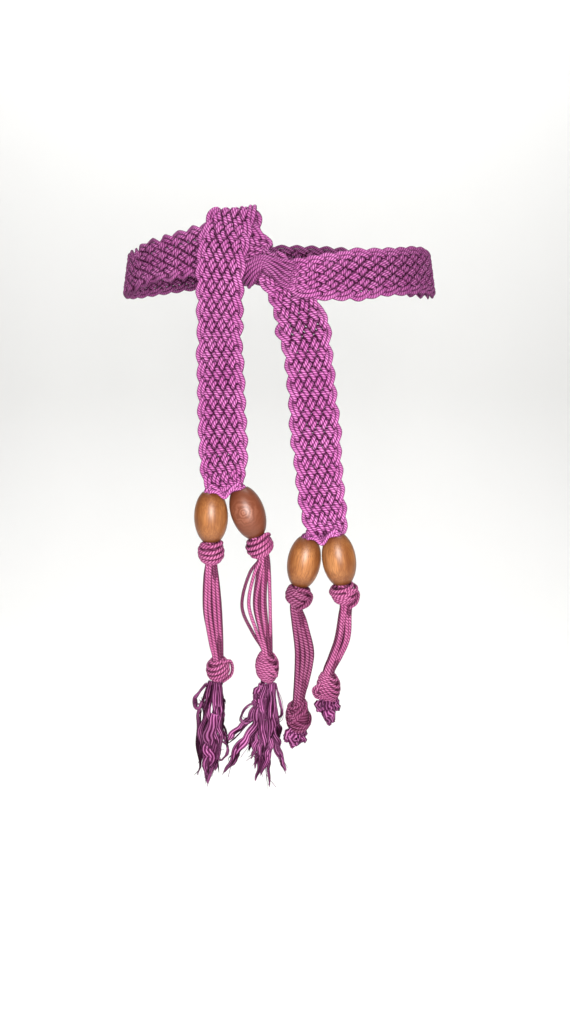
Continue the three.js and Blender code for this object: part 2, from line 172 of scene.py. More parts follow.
def band_section(around, height, layer=1, turn=0, wide=1, thick=1, lean=0):
    small = 1e-5
    point = skin_point(around, height)
    sideways = skin_point(around + small, height) - point
    upwards = skin_point(around, height + small) - point
    outward = unit(np.cross(sideways, upwards))
    lift = wear_gap + band_thickness / 2 + (layer - 1) * layer_pitch
    turned, leant = math.radians(turn), math.radians(lean)
    upward = np.array([math.sin(leant), 0, math.cos(leant)])
    face = outward * math.cos(turned) + upward * math.sin(turned)
    return point + outward * lift, face, np.array([wide * band_width, thick * band_thickness])


def front_angle(across):
    return math.asin((across * band_width - knot_shift) / waist_half_width)


def front_sections(rows):
    return [band_section(front_angle(a), up * band_width, *rest) for a, up, *rest in rows]


def hanging_sections(rows, drop):
    return [
        band_section(front_angle(across), -share * drop, layer, 0, wide, thick)
        for share, across, layer, wide, thick in rows
    ]


def back_sections():
    sections = []
    for around in np.radians(np.linspace(back_start, back_end, back_parts + 1)):
        behind = max(0, -math.cos(around))
        sections.append(band_section(around, back_rise * behind**1.5))
    return sections


band_sections = (
    hanging_sections(left_end_rows, left_drop)
    + front_sections(left_knot_rows)
    + front_sections(right_band_rows)
    + back_sections()
    + front_sections(left_band_rows)
    + hanging_sections(right_end_rows, right_drop)
)


def smooth_through(values, steps):
    """A smooth curve through the values, with the same number of steps from each to the next."""
    values = np.asarray(values, float)
    t = (np.arange(steps) / steps)[:, None]
    result = []
    for i in range(len(values) - 1):
        b, c = values[i], values[i + 1]
        a = values[i - 1] if i else 2 * b - c
        d = values[i + 2] if i + 2 < len(values) else 2 * c - b
        ab, bc, cd = (np.linalg.norm(q - p) ** 0.5 for p, q in ((a, b), (b, c), (c, d)))
        bc = bc if bc > 1e-4 else 1
        ab = ab if ab > 1e-4 else bc
        cd = cd if cd > 1e-4 else bc
        leave = ((b - a) / ab - (c - a) / (ab + bc) + (c - b) / bc) * bc
        arrive = ((c - b) / bc - (d - b) / (bc + cd) + (d - c) / cd) * bc
        result.append(
            (2 * t**3 - 3 * t**2 + 1) * b
            + (t**3 - 2 * t**2 + t) * leave
            + (3 * t**2 - 2 * t**3) * c
            + (t**3 - t**2) * arrive
        )
    return np.vstack([*result, values[-1:]])


def distances(points):
    steps = np.linalg.norm(np.diff(points, axis=0), axis=1)
    return np.concatenate([[0], np.cumsum(steps)])


def resampled(where, wanted, values):
    return np.stack([np.interp(wanted, where, column) for column in values.T], axis=1)


band_step = 0.001
dense = 24
route = smooth_through([section[0] for section in band_sections], dense)
route_face = smooth_through([section[1] for section in band_sections], dense)
route_size = smooth_through([section[2] for section in band_sections], dense)
route_length = distances(route)
band_length = route_length[-1]
along_band = np.linspace(0, band_length, int(band_length / band_step))
band_at = resampled(route_length, along_band, route)
band_along = unit(np.gradient(band_at, axis=0))
band_side = unit(np.cross(band_along, resampled(route_length, along_band, route_face)))
band_face = np.cross(band_side, band_along)
band_wide = resampled(route_length, along_band, route_size)[:, 0]

# Beads' places
# Two tails leave each end of the band, and each one hangs in its own direction from a bead
# that sits close under the plait.
bead_diameter = 0.0234
bead_length = 0.0346
bundle_diameter = 0.0086
seat_gap = 0.0003
upper_knot_wide = 0.0195
upper_knot_tall = 0.0155
lower_knot_wide = 0.017
lower_knot_tall = 0.023
bare_length = 0.069
# across, drop and forward seat the bead as shares of its diameter and lean is in degrees; bare,
# shift and bow are shares of the bare length and the rest are shares of their own sizes
tails = [
    dict(
        name="left_outer", end=0, across=-0.445, drop=0.14, forward=0, lean=-0.8,
        bare=1, shift=0.052, bow=-0.02, spread=1.6,
        upper_wide=0.944, lower_wide=1, lower_tall=0.761,
    ),
    dict(
        name="left_inner", end=0, across=0.39, drop=0.06, forward=0, lean=19,
        bare=1, shift=0.03, bow=-0.06, spread=2.1,
        upper_wide=1, lower_wide=1, lower_tall=1,
    ),
    dict(
        name="right_inner", end=-1, across=-0.55, drop=0.2, forward=-0.13, lean=-9.4,
        bare=1.01, shift=0.03, bow=0.07, spread=1.55,
        upper_wide=0.99, lower_wide=1.118, lower_tall=1.087,
    ),
    dict(
        name="right_outer", end=-1, across=0.24, drop=0.055, forward=0.16, lean=9.1,
        bare=0.71, shift=-0.167, bow=0.055, spread=1.2,
        upper_wide=1.026, lower_wide=1, lower_tall=0.978,
    ),
]
for tail in tails:
    lean = math.radians(tail["lean"])
    axis = np.array([math.sin(lean), 0, -math.cos(lean)])
    offset = np.array([tail["across"], -tail["forward"], -tail["drop"]])
    tail["axis"] = axis
    tail["bead_top"] = band_sections[tail["end"]][0] + offset * bead_diameter
    tail["bead_end"] = tail["bead_top"] + axis * bead_length
    tail["upper_knot"] = tail["bead_end"] + axis * (seat_gap + upper_knot_tall / 2)
    tail["bare_top"] = tail["upper_knot"] + axis * upper_knot_tall / 2
    fallen = np.array([tail["shift"], 0, -tail["bare"]]) * bare_length
    tail["bare_bottom"] = tail["bare_top"] + fallen
    tail["tall"] = tail["lower_tall"] * lower_knot_tall
    tail["lower_knot"] = tail["bare_bottom"] - np.array([0, 0, tail["tall"] / 2])

# Plaited band
# Nine strands, each a pair of twisted cords lying side by side, pass over one and under one
# from edge to edge. Where the belt is drawn tight they close up into a thick round bundle.
cord_diameter = 0.0025
float_cord_wide, float_cord_thick = 0.0028, 0.0024
dive_cord_wide, dive_cord_thick = 0.0034, 0.0018
pair_spacing = 0.98
strands = 9
crossing_step = 0.00665
# A strand swings a little sideways at each crossing and turns at the edge in an eased corner
crossing_swing = 0.012
corner_ease = 0.965
edge_room = 0.1
# How far a strand rises over its neighbour, and how early the leading cord of a pair does so
weave_lift = 0.0016
roll_lead = 0.12
# The plait is open down to the first share of its full width and a closed bundle at the second
open_width, closed_width = 0.79, 0.48
bundle_layer_lift = 0.0021
cord_sides = 10


def tube(points, radius, face, sides=cord_sides, flat=1, painted_shade=0, closed=False):
    """A round or flattened cord: corners, faces, a length-and-round map, shade and cap's sides."""
    count = len(points)
    if closed:
        along = unit(np.roll(points, -1, axis=0) - np.roll(points, 1, axis=0))
        reach = distances(np.vstack([points, points[:1]]))
    else:
        along = unit(np.gradient(points, axis=0))
        reach = distances(points)
    face = np.broadcast_to(face, points.shape)
    first = unit(face - along * np.sum(face * along, axis=1, keepdims=True))
    second = np.cross(along, first)
    angle = np.arange(sides) / sides * 2 * math.pi
    radius = np.broadcast_to(radius, (count,))[:, None, None]
    flat = np.broadcast_to(flat, (count,))[:, None, None]
    ring = first[:, None] * np.cos(angle)[:, None] * flat + second[:, None] * np.sin(angle)[:, None]
    corners = (points[:, None] + ring * radius).reshape(-1, 3)
    last = count if closed else count - 1
    i, k = (grid.ravel() for grid in np.meshgrid(np.arange(last), np.arange(sides), indexing="ij"))
    j, n = (i + 1) % count, (k + 1) % sides
    faces = np.stack([i * sides + k, i * sides + n, j * sides + n, j * sides + k], axis=1)
    u0, u1, v0, v1 = reach[i], reach[i + 1], k / sides, (k + 1) / sides
    mapped = np.stack([u0, v0, u0, v1, u1, v1, u1, v0], axis=1).reshape(-1, 4, 2)
    shade = np.repeat(np.broadcast_to(painted_shade, (count,)), sides)
    return corners, faces, mapped, shade, 0 if closed else sides


def piece_from(name, parts, material, nodes):
    """One piece made of several tubes, riding with the belt in place of its CAD nodes."""
    corners, loops, sizes, maps, shades, start = [], [], [], [], [], 0
    for part_corners, faces, mapped, shade, cap in parts:
        corners.append(part_corners)
        shades.append(shade)
        loops.append((faces + start).ravel())
        sizes += [4] * len(faces)
        maps.append(mapped.reshape(-1, 2))
        if cap:
            ends = np.arange(cap)
            loops += [start + ends[::-1], start + len(part_corners) - cap + ends]
            sizes += [cap, cap]
            maps += [np.tile(mapped[0, 0], (cap, 1)), np.tile(mapped[-1, 2], (cap, 1))]
        start += len(part_corners)
    loops = np.concatenate(loops)
    mesh = bpy.data.meshes.new(name)
    mesh.vertices.add(start)
    mesh.vertices.foreach_set("co", np.vstack(corners).ravel())
    mesh.loops.add(len(loops))
    mesh.loops.foreach_set("vertex_index", loops)
    mesh.polygons.add(len(sizes))
    mesh.polygons.foreach_set("loop_start", np.concatenate([[0], np.cumsum(sizes)[:-1]]))
    mesh.polygons.foreach_set("loop_total", sizes)
    mesh.uv_layers.new(name="along").data.foreach_set("uv", np.vstack(maps).ravel())
    # Painted shade along each cord, which its material reads to darken it
    painted_shade = mesh.attributes.new("painted_shade", "FLOAT", "POINT")
    painted_shade.data.foreach_set("value", np.concatenate(shades))
    mesh.update(calc_edges=True)
    mesh.validate()
    mesh.shade_smooth()
    piece = bpy.data.objects.new(name, mesh)
    scene.collection.objects.link(piece)
    mesh.materials.append(material)
    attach(piece, "root")
    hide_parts(*nodes)


def new_material(name, colour, roughness):
    material = bpy.data.materials.new(name)
    material.use_nodes = True
    shader = material.node_tree.nodes["Principled BSDF"]
    shader.inputs["Base Color"].default_value = (*colour, 1)
    shader.inputs["Roughness"].default_value = roughness
    return material, material.node_tree, shader


def node(tree, kind, settings=(), **inputs):
    """A shader node whose inputs are given by name, or by number as i0, i1 and so on."""
    made = tree.nodes.new(kind)
    for key, value in settings:
        setattr(made, key, value)
    for key, value in inputs.items():
        numbered = key[0] == "i" and key[1:].isdigit()
        socket = made.inputs[int(key[1:]) if numbered else key]
        if isinstance(value, bpy.types.NodeSocket):
            tree.links.new(value, socket)
        else:
            socket.default_value = value
    return made


def math_node(tree, operation, a, b=0.0, c=0.0):
    return node(tree, "ShaderNodeMath", [("operation", operation)], i0=a, i1=b, i2=c).outputs[0]


def times(tree, a, b):
    return math_node(tree, "MULTIPLY", a, b)


def scaled(tree, value, by, plus):
    return math_node(tree, "MULTIPLY_ADD", value, by, plus)


def attribute(tree, name, output="Vector"):
    return node(tree, "ShaderNodeAttribute", [("attribute_name", name)]).outputs[output]


def noise(tree, place, scale, detail):
    return node(tree, "ShaderNodeTexNoise", Vector=place, Scale=scale, Detail=detail).outputs[0]


def mixed(tree, share, first, second):
    """The first colour, with that share of it taken by the second."""
    made = node(tree, "ShaderNodeMix", [("data_type", "RGBA")])
    for index, value in ((0, share), (6, first), (7, second)):
        socket = made.inputs[index]
        if isinstance(value, bpy.types.NodeSocket):
            tree.links.new(value, socket)
        else:
            socket.default_value = value if isinstance(value, float) else (*value, 1)
    return made.outputs[2]


def cord_material(name, groove_shade, body, ridge_highlight, twist_pitch, twist_starts, bump):
    """Twisted cord: slanting ridges round it with a painted highlight on their crests, and painted
    shade in the grooves, down its sides and where it dives under.
    """
    roughness, shine, side_dark, fuzz_height = 0.6, 0.06, 0.92, 0.25
    wander_scale, mottle_scale, fuzz_scale = 220.0, 70.0, 2600.0
    material, tree, shader = new_material(name, body, roughness)
    shader.inputs["Specular IOR Level"].default_value = shine
    cord_map = node(tree, "ShaderNodeUVMap", [("uv_map", "along")])
    parts = node(tree, "ShaderNodeSeparateXYZ", i0=cord_map.outputs[0]).outputs
    place = node(tree, "ShaderNodeTexCoord").outputs["Object"]
    wander = noise(tree, place, wander_scale, 2.0)
    turns = times(tree, parts[0], 2 * math.pi / twist_pitch)
    turns = scaled(tree, parts[1], 2 * math.pi * twist_starts, turns)
    phase = scaled(tree, wander, 2.4, turns)
    wave = scaled(tree, math_node(tree, "SINE", phase), 0.5, 0.5)
    rounded = math_node(tree, "POWER", wave, 0.9)
    mottle = noise(tree, place, mottle_scale, 4.0)
    tone = times(tree, rounded, scaled(tree, mottle, 1.0, 0.42))
    # Painted shade in the grooves of the twist and a painted highlight on its crests, with random
    # mottle
    yarn = mixed(tree, scaled(tree, rounded, 0.56, 0.44), groove_shade, body)
    yarn = mixed(tree, math_node(tree, "POWER", tone, 2.0), yarn, ridge_highlight)
    # Painted shade down the sides of each cord, and where the painted shade attribute says so
    around = times(tree, parts[1], 2 * math.pi)
    facing = math_node(tree, "ABSOLUTE", math_node(tree, "COSINE", around))
    facing = math_node(tree, "POWER", facing, 0.8)
    lit = scaled(tree, facing, side_dark, 1 - side_dark)
    painted_shade = attribute(tree, "painted_shade", "Fac")
    lit = times(tree, lit, scaled(tree, painted_shade, -1.0, 1.0))
    tree.links.new(mixed(tree, lit, groove_shade, yarn), shader.inputs["Base Color"])
    fuzz = noise(tree, place, fuzz_scale, 2.0)
    height = scaled(tree, fuzz, fuzz_height, rounded)
    relief = node(tree, "ShaderNodeBump", Strength=1.0, Distance=bump, Height=height)
    tree.links.new(relief.outputs[0], shader.inputs["Normal"])
    return material


orchid_cord = cord_material(
    "orchid_cord",
    groove_shade=(0.020, 0.0002, 0.010),
    body=(0.33, 0.052, 0.238),
    ridge_highlight=(0.57, 0.20, 0.46),
    twist_pitch=0.0018,
    twist_starts=3,
    bump=0.0002,
)
rose_cord = cord_material(
    "rose_cord",
    groove_shade=(0.022, 0.0003, 0.006),
    body=(0.285, 0.048, 0.155),
    ridge_highlight=(0.53, 0.175, 0.345),
    twist_pitch=0.0021,
    twist_starts=3,
    bump=0.0002,
)


def column_of(turn):
    """Place across the plait, 0 to 9 and back, for a strand that many crossings along."""
    swing = np.sin(math.pi * (turn - strands / 2) / strands)
    return strands / 2 + strands / math.pi * np.arcsin(corner_ease * swing)


def lift_of(turn):
    """Over one and under one: +1 on the outer face, -1 on the inner face."""
    turn = np.mod(turn - 1, 2 * strands) + 1
    choices = [turn <= 8, turn <= 10, turn <= 17]
    values = [
        -np.cos(math.pi * turn),
        -np.cos(math.pi * (turn - 8) / 2),
        np.cos(math.pi * (18 - turn)),
    ]
    return np.select(choices, values, -np.cos(math.pi * (turn - 17) / 2))


# Painted shade round the waist, from a little way off the knot, and where the band is closed
waist_shade, knot_shade = 0.30, 0.34
shade_start, shade_reach = 0.05, 0.05
# A cord gets painted shade where it floats less than the start, almost black one fade below that
dive_start, dive_fade, dive_shade = 0.72, 0.5, 0.97
from_knot = np.hypot(band_at[:, 0], np.maximum(band_at[:, 1] + waist_half_depth, 0))
painted_waist_shade = waist_shade * np.clip((from_knot - shade_start) / shade_reach, 0, 1)
width_share = band_wide / band_width
closing = np.clip((open_width - width_share) / (open_width - closed_width), 0, 1)
closing = closing**2 * (3 - 2 * closing)


def cord_pair(index):
    """The two cords of one strand, with their half width, flatness and shade along the way.

    A cord is round where it floats over the others and pressed flat where it dives under. The
    leading cord of the pair climbs over the next strand before its neighbour does.
    """
    turn = along_band / crossing_step + 2 * index
    swung = turn + crossing_swing * np.sin(2 * math.pi * turn) * (1 - closing)
    across = (column_of(swung) - strands / 2) / (strands + edge_room) * band_wide
    towards = np.clip(3 * np.sin(math.pi * turn / strands), -1, 1)
    bundled = bundle_layer_lift * towards
    middle = band_at + band_side * across[:, None]
    heading = unit(np.gradient(middle + band_face * (bundled * closing)[:, None], axis=0))
    beside = unit(np.cross(band_face, heading))
    lean = (closing * math.pi / 2)[:, None]
    beside = beside * np.cos(lean) + band_face * np.sin(lean)
    cords = []
    for side in (-1, 1):
        hump = lift_of(turn - side * roll_lead * towards)
        floating = np.abs(hump)
        woven = weave_lift * np.sign(hump) * floating**0.75
        lift = woven * (1 - closing) + bundled * closing
        wide = float_cord_wide * floating + dive_cord_wide * (1 - floating)
        thick = float_cord_thick * floating + dive_cord_thick * (1 - floating)
        wide = wide * (1 - closing) + cord_diameter * closing
        thick = thick * (1 - closing) + cord_diameter * closing
        painted_shade = dive_shade * np.clip((dive_start - floating) / dive_fade, 0, 1)
        painted_shade = painted_shade * np.abs(towards) * (1 - closing)
        apart = side * wide * pair_spacing / 2
        path = middle + band_face * lift[:, None] + beside * apart[:, None]
        shade = 1 - (1 - painted_shade) * (1 - painted_waist_shade) * (1 - knot_shade * closing)
        cords.append((path, wide / 2, thick / wide, shade))
    return cords


plait_pairs = [cord_pair(index) for index in range(strands)]
plait_cords = [cord[0] for pair in plait_pairs for cord in pair]

# The nine cords of each tail lie as one in the middle and eight round it
outer_cords, first_cord_degrees = 8, 10
packed = [np.zeros(2)]
for k in range(outer_cords):
    angle = math.radians(360 / outer_cords * k + first_cord_degrees)
    packed.append(np.array([math.cos(angle), math.sin(angle)]))
packed_radius = bundle_diameter / 2 - cord_diameter / 2
# Where the cords go into a bead: how deep, from how far above it, how spread out, and how far
# the middle ones sag on their way
mouth_depth = 0.006
mouth_rise = 0.0012
mouth_spread = 1.05
gather_sag = 0.004


def packed_place(tail, centre, index, scale=1.0):
    side = np.cross(tail["axis"], np.array([0, 1, 0]))
    across, forward = packed[index] * packed_radius * scale
    return centre + side * across - np.array([0, 1, 0]) * forward


def gathered(cords, end):
    """Each tail at this end takes nine cords. Of the middle four, two cross over each way."""
    pair = [tail for tail in tails if tail["end"] == end]
    order = sorted(range(len(cords)), key=lambda i: cords[i][end][0])
    middle = band_sections[end][0][0]
    for tail, chosen in zip(pair, (order[:7] + order[9:11], order[7:9] + order[11:])):
        centre = tail["bead_top"]
        spots = list(range(len(packed)))
        for i in chosen:
            tip = cords[i][end]
            near = min(spots, key=lambda s: np.linalg.norm(packed_place(tail, centre, s) - tip))
            spots.remove(near)
            inner = packed_place(tail, centre + tail["axis"] * mouth_depth, near)
            mouth = packed_place(tail, centre - tail["axis"] * mouth_rise, near, mouth_spread)
            between = tip * 0.55 + mouth * 0.45
            inwards = max(0, 1 - abs(between[0] - middle) / (band_width / 3))
            between = between - np.array([0, 0, gather_sag]) * inwards
            before = cords[i][3 if end == 0 else -4]
            bend = smooth_through([before, tip, between, mouth, inner], 5)[5:]
            if end == 0:
                cords[i] = np.vstack([bend[::-1], cords[i][1:]])
            else:
                cords[i] = np.vstack([cords[i][:-1], bend])


gathered(plait_cords, 0)
gathered(plait_cords, -1)
for index in range(strands):
    parts = []
    for half, (_, half_wide, flat, painted_shade) in enumerate(plait_pairs[index]):
        cord, count = plait_cords[2 * index + half], len(band_face)
        near = np.clip(np.arange(len(cord)) - (len(cord) - count) // 2, 0, count - 1)
        parts.append(tube(cord, half_wide[near], band_face[near], flat=flat[near], painted_shade=painted_shade[near]))
    piece_from(f"plait_strand_{index + 1}", parts, orchid_cord, ["woven_band"])

# Last crossings
# Where the plait ends, the last cords pass from one bead's mouth to the other and sag between
# the two beads. They are the plait's own cord, held by the bores that they go into.
frontward = np.array([0, -1.0, 0])
crossing_flatness = 0.85
# Columns, as shares of a cord's diameter: how far forward, sag, height at the left, at the right
last_crossings = [
    (2.7, 1.5, 0.3, 1.8), (2.0, 1.3, 2.0, 0.4), (1.0, 0.9, 0.5, 1.5), (-0.1, 0.6, 1.5, 0.5),
    (-1.0, 0.9, 0.5, 1.5), (-1.9, 1.3, 1.8, 0.4), (-2.7, 1.5, 0.3, 1.6),
]
parts = []
for end in (0, -1):
    first, second = (tail for tail in tails if tail["end"] == end)
    left, right = first["bead_top"], second["bead_top"]
    for forward, sag, left_high, right_high in last_crossings:
        ahead = frontward * cord_diameter * forward
        high = np.array([0, 0, cord_diameter])
        rows = [
            left + first["axis"] * mouth_depth / 2 + ahead * 0.4,
            left + ahead * 0.8 + high * left_high,
            left * 0.75 + right * 0.25 + ahead + high * left_high * 0.4,
            (left + right) / 2 + ahead - high * sag,
            left * 0.25 + right * 0.75 + ahead + high * right_high * 0.4,
            right + ahead * 0.8 + high * right_high,
            right + second["axis"] * mouth_depth / 2 + ahead * 0.4,
        ]
        path = smooth_through(rows, 8)
        parts.append(tube(path, cord_diameter / 2, frontward, flat=crossing_flatness))
piece_from("plait_last_crossings", parts, orchid_cord, ["woven_band"])

# Wooden beads
# Oval beads turned from light hardwood, drilled from end to end, stained brown and varnished.
# The ends are coloured darker than the sides, and one bead shows the rings of the trunk on its face.
bead_bore = 0.010
bead_rim = 0.0116


def wood_material():
    """Stained wood with grain along the bead, darker at its ends, or rings where it is ringed."""
    wood, pale_cloud, pore = (0.30, 0.11, 0.034), (0.50, 0.24, 0.090), (0.10, 0.028, 0.008)
    dark_grain, light_grain = (0.155, 0.048, 0.012), (0.34, 0.135, 0.040)
    dark_ring, pale_ring = (0.125, 0.034, 0.015), (0.36, 0.145, 0.090)
    darker_end, ringed_end = (0.085, 0.022, 0.006), (0.075, 0.018, 0.006)
    roughness, shine, varnish, varnish_roughness = 0.40, 0.34, 0.10, 0.42
    ring_waves, ring_bend, pore_depth = 2100.0, 17.0, 0.00006
    material, tree, shader = new_material("varnished_wood", wood, roughness)
    shader.inputs["Specular IOR Level"].default_value = shine
    shader.inputs["Coat Weight"].default_value = varnish
    shader.inputs["Coat Roughness"].default_value = varnish_roughness
    grain = attribute(tree, "grain")
    local = attribute(tree, "turned")
    stain = attribute(tree, "stain", "Fac")
    squeezed = node(tree, "ShaderNodeMapping", Vector=local, Scale=(1.0, 1.0, 0.06)).outputs[0]
    fibre = noise(tree, squeezed, 1700.0, 4.0)
    broad = noise(tree, squeezed, 210.0, 3.0)
    cloud = noise(tree, local, 75.0, 2.0)
    plain = mixed(tree, scaled(tree, broad, 2.4, -0.7), dark_grain, light_grain)
    plain = mixed(tree, scaled(tree, cloud, 1.6, -0.75), plain, pale_cloud)
    fine = mixed(tree, scaled(tree, fibre, 2.3, -0.90), plain, pore)
    height = node(tree, "ShaderNodeSeparateXYZ", i0=local).outputs[2]
    far = math_node(tree, "DIVIDE", math_node(tree, "ABSOLUTE", height), bead_length / 2)
    edge = times(tree, math_node(tree, "POWER", far, 2.4), 0.92)
    ends = mixed(tree, edge, fine, darker_end)
    part = node(tree, "ShaderNodeSeparateXYZ", i0=grain).outputs
    spread = node(tree, "ShaderNodeCombineXYZ", i0=part[0], i1=part[1])
    heart = node(tree, "ShaderNodeVectorMath", [("operation", "LENGTH")], i0=spread.outputs[0])
    reach = heart.outputs[1]
    bend = noise(tree, grain, 210.0, 3.0)
    bent = times(tree, bend, ring_bend)
    rings = math_node(tree, "SINE", scaled(tree, reach, ring_waves, bent))
    ring = math_node(tree, "POWER", scaled(tree, rings, 0.5, 0.5), 1.3)
    fading = math_node(tree, "MAXIMUM", scaled(tree, reach, -70.0, 0.80), 0.08)
    fading = times(tree, fading, scaled(tree, cloud, 1.4, 0.1))
    ring = times(tree, ring, fading)
    ringed = mixed(tree, ring, dark_ring, pale_ring)
    ringed = mixed(tree, times(tree, edge, 0.8), ringed, ringed_end)
    tree.links.new(mixed(tree, stain, ends, ringed), shader.inputs["Base Color"])
    relief = node(tree, "ShaderNodeBump", Strength=0.35, Distance=pore_depth, Height=fibre)
    tree.links.new(relief.outputs[0], shader.inputs["Normal"])
    return material


varnished_wood = wood_material()


def turn_bead():
    """An oval with its tips cut off and a bore let through it; its rims are eased after it is made."""
    bpy.ops.object.select_all(action="DESELECT")
    bpy.ops.mesh.primitive_uv_sphere_add(segments=48, ring_count=36, radius=bead_diameter / 2)
    bead = bpy.context.object
    rim_share = math.sqrt(1 - (bead_rim / bead_diameter) ** 2)
    bpy.ops.object.mode_set(mode="EDIT")
    bpy.ops.transform.resize(value=(1, 1, bead_length / bead_diameter / rim_share))
    for side in (1, -1):
        bpy.ops.mesh.select_all(action="SELECT")
        bpy.ops.mesh.bisect(
            plane_co=(0, 0, side * bead_length / 2),
            plane_no=(0, 0, side),
            clear_outer=True,
            use_fill=True,
        )
    bpy.ops.object.mode_set(mode="OBJECT")
    for face in bead.data.polygons:
        face.select = abs(face.normal.z) > 0.999 and abs(face.center.z) > bead_length * 0.499
    bpy.ops.object.mode_set(mode="EDIT")
    bpy.ops.mesh.select_mode(type="FACE")
    bpy.ops.mesh.inset(thickness=(bead_rim - bead_bore) / 2, use_boundary=True)
    bpy.ops.mesh.bridge_edge_loops(number_cuts=12)
    bpy.ops.object.mode_set(mode="OBJECT")
    return bead


seat_bevel = 0.0005
bead_pattern = turn_bead()
rims = bead_pattern.modifiers.new("rims", "BEVEL")
rims.width = seat_bevel
rims.segments = 3
rims.limit_method = "ANGLE"
rims.angle_limit = math.radians(35)
bpy.ops.object.modifier_apply(modifier="rims")

# Columns: how far the heart of the rings lies off the bead's middle, share of the ringed dark stain
bead_grain = {
    "left_outer": ((0.011, 0.004, 0), 0.0),
    "left_inner": ((-0.0015, 0.0, 0.0031), 1.0),
    "right_inner": ((-0.010, 0.007, 0), 0.0),
    "right_outer": ((0.006, 0.012, 0), 0.0),
}
for tail in tails:
    name = tail["name"]
    bead = bead_pattern.copy()
    bead.data = bead_pattern.data.copy()
    bead.name = f"wooden_bead_{name}"
    scene.collection.objects.link(bead)
    turned = np.zeros(len(bead.data.vertices) * 3)
    bead.data.vertices.foreach_get("co", turned)
    turned = turned.reshape(-1, 3)
    heart, stain = bead_grain[name]
    grain = (turned - np.array(heart))[:, [0, 2, 1]]
    # Each bead is cut from another place in the wood, so no two have the same grain
    turned = turned + np.array(tail["bead_top"]) * (1, 1, 0)
    for label, values in (("turned", turned), ("grain", grain)):
        layer = bead.data.attributes.new(label, "FLOAT_VECTOR", "POINT")
        layer.data.foreach_set("vector", values.ravel())
    layer = bead.data.attributes.new("stain", "FLOAT", "POINT")
    layer.data.foreach_set("value", np.full(len(turned), stain))
    centre = tail["bead_top"] + tail["axis"] * bead_length / 2
    leaning = Matrix.Rotation(-math.radians(tail["lean"]), 4, "Y")
    bead.data.transform(Matrix.Translation(Vector(centre)) @ leaning)
    bead.data.materials.append(varnished_wood)
    bead.data.shade_smooth()
    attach(bead, "root")
    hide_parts(f"bead_{name}")
bpy.data.objects.remove(bead_pattern)

# Bare cords
# Below each bead the nine cords hang loose between two knots, each with a bow of its own. They
# are the plait's own cords, which go on through the bead and are held by both knots.
bare_cord_radius, back_cord_radius = 0.0014, 0.0013
# Cords at the back of a bundle get painted shade
back_shade = 0.65
bundle_depth = 1.15
loose = np.random.default_rng(7)
# How much painted shade each tail's cords and knots get, as a share
painted_tail_shade = {"left_outer": 0.0, "left_inner": 0.0, "right_inner": 0.42, "right_outer": 0.08}
# How far the outermost cord strays beyond the others, as a share of the bundle's diameter
stray = {"left_outer": 0.0, "left_inner": 0.62, "right_inner": 0.0, "right_outer": 0.0}
# How thick a tail's bare cords are, as a share of the usual
swell = {"left_outer": 1.0, "left_inner": 0.93, "right_inner": 1.2, "right_outer": 1.08}
for tail in tails:
    name = tail["name"]
    parts = []
    down = np.array([0, 0, -1])
    bow = tail["bow"] * bare_length
    half_wide = tail["spread"] * bundle_diameter / 2 - bare_cord_radius
    half_deep = bundle_depth * bundle_diameter / 2 - bare_cord_radius
    ranked = sorted(range(len(packed)), key=lambda i: packed[i][0])
    for index, (across, forward) in enumerate(packed):
        rank = ranked.index(index)
        front = rank % 2 == 1
        row_across = (rank - 4) * 0.3 if front else rank / 4 - 1
        row_forward = 0.6 + 0.3 * (-1) ** (rank // 2) if front else -0.6
        drift = loose.uniform(-0.0006, 0.0006)
        if rank == 0:
            drift -= stray[name] * bundle_diameter
        rows = [
            packed_place(tail, tail["bead_top"] + tail["axis"] * mouth_depth, index),
            packed_place(tail, tail["bead_end"], index),
            packed_place(tail, tail["upper_knot"], index),
            packed_place(tail, tail["bare_top"], index),
        ]
        # Columns: share of the bare length, share of the bow, share of the spread
        for share, bowed, open_share in ((0.18, 0.45, 0.55), (0.5, 1, 1), (0.8, 0.5, 0.5)):
            share += loose.uniform(-0.04, 0.04)
            centre = tail["bare_top"] * (1 - share) + tail["bare_bottom"] * share
            wide = packed_radius + (half_wide - packed_radius) * open_share
            deep = packed_radius + (half_deep - packed_radius) * open_share
            fan = across * (1 - open_share) + row_across * open_share
            nod = forward * (1 - open_share) + row_forward * open_share
            offset = np.array([fan * wide + bow * bowed + drift * open_share, -nod * deep, 0])
            rows.append(centre + offset)
        inside_knot = tail["lower_knot"] + down * tail["tall"] / 4
        for centre in (tail["bare_bottom"], tail["lower_knot"], inside_knot):
            rows.append(centre + np.array([across, -forward, 0]) * packed_radius * 0.95)
        thick = (bare_cord_radius if front else back_cord_radius) * swell[name]
        painted_shade = painted_tail_shade[name] if front else back_shade
        parts.append(tube(smooth_through(rows, 12), thick, frontward, painted_shade=painted_shade))
    piece_from(f"bare_cords_{name}", parts, rose_cord, [f"cord_bundle_{name}"])

# Knots
# Each knot is the same nine cords thrown round themselves and drawn tight, so its face shows
# thick parallel turns lying aslant, with a bight or two of cord pulled over them.
knot_cord_radius = 0.00145
wound_cord_radius = 0.00125
# The knot's middle, under its turns, gets painted shade
core_shade = 0.6
bight_lift = 1.03


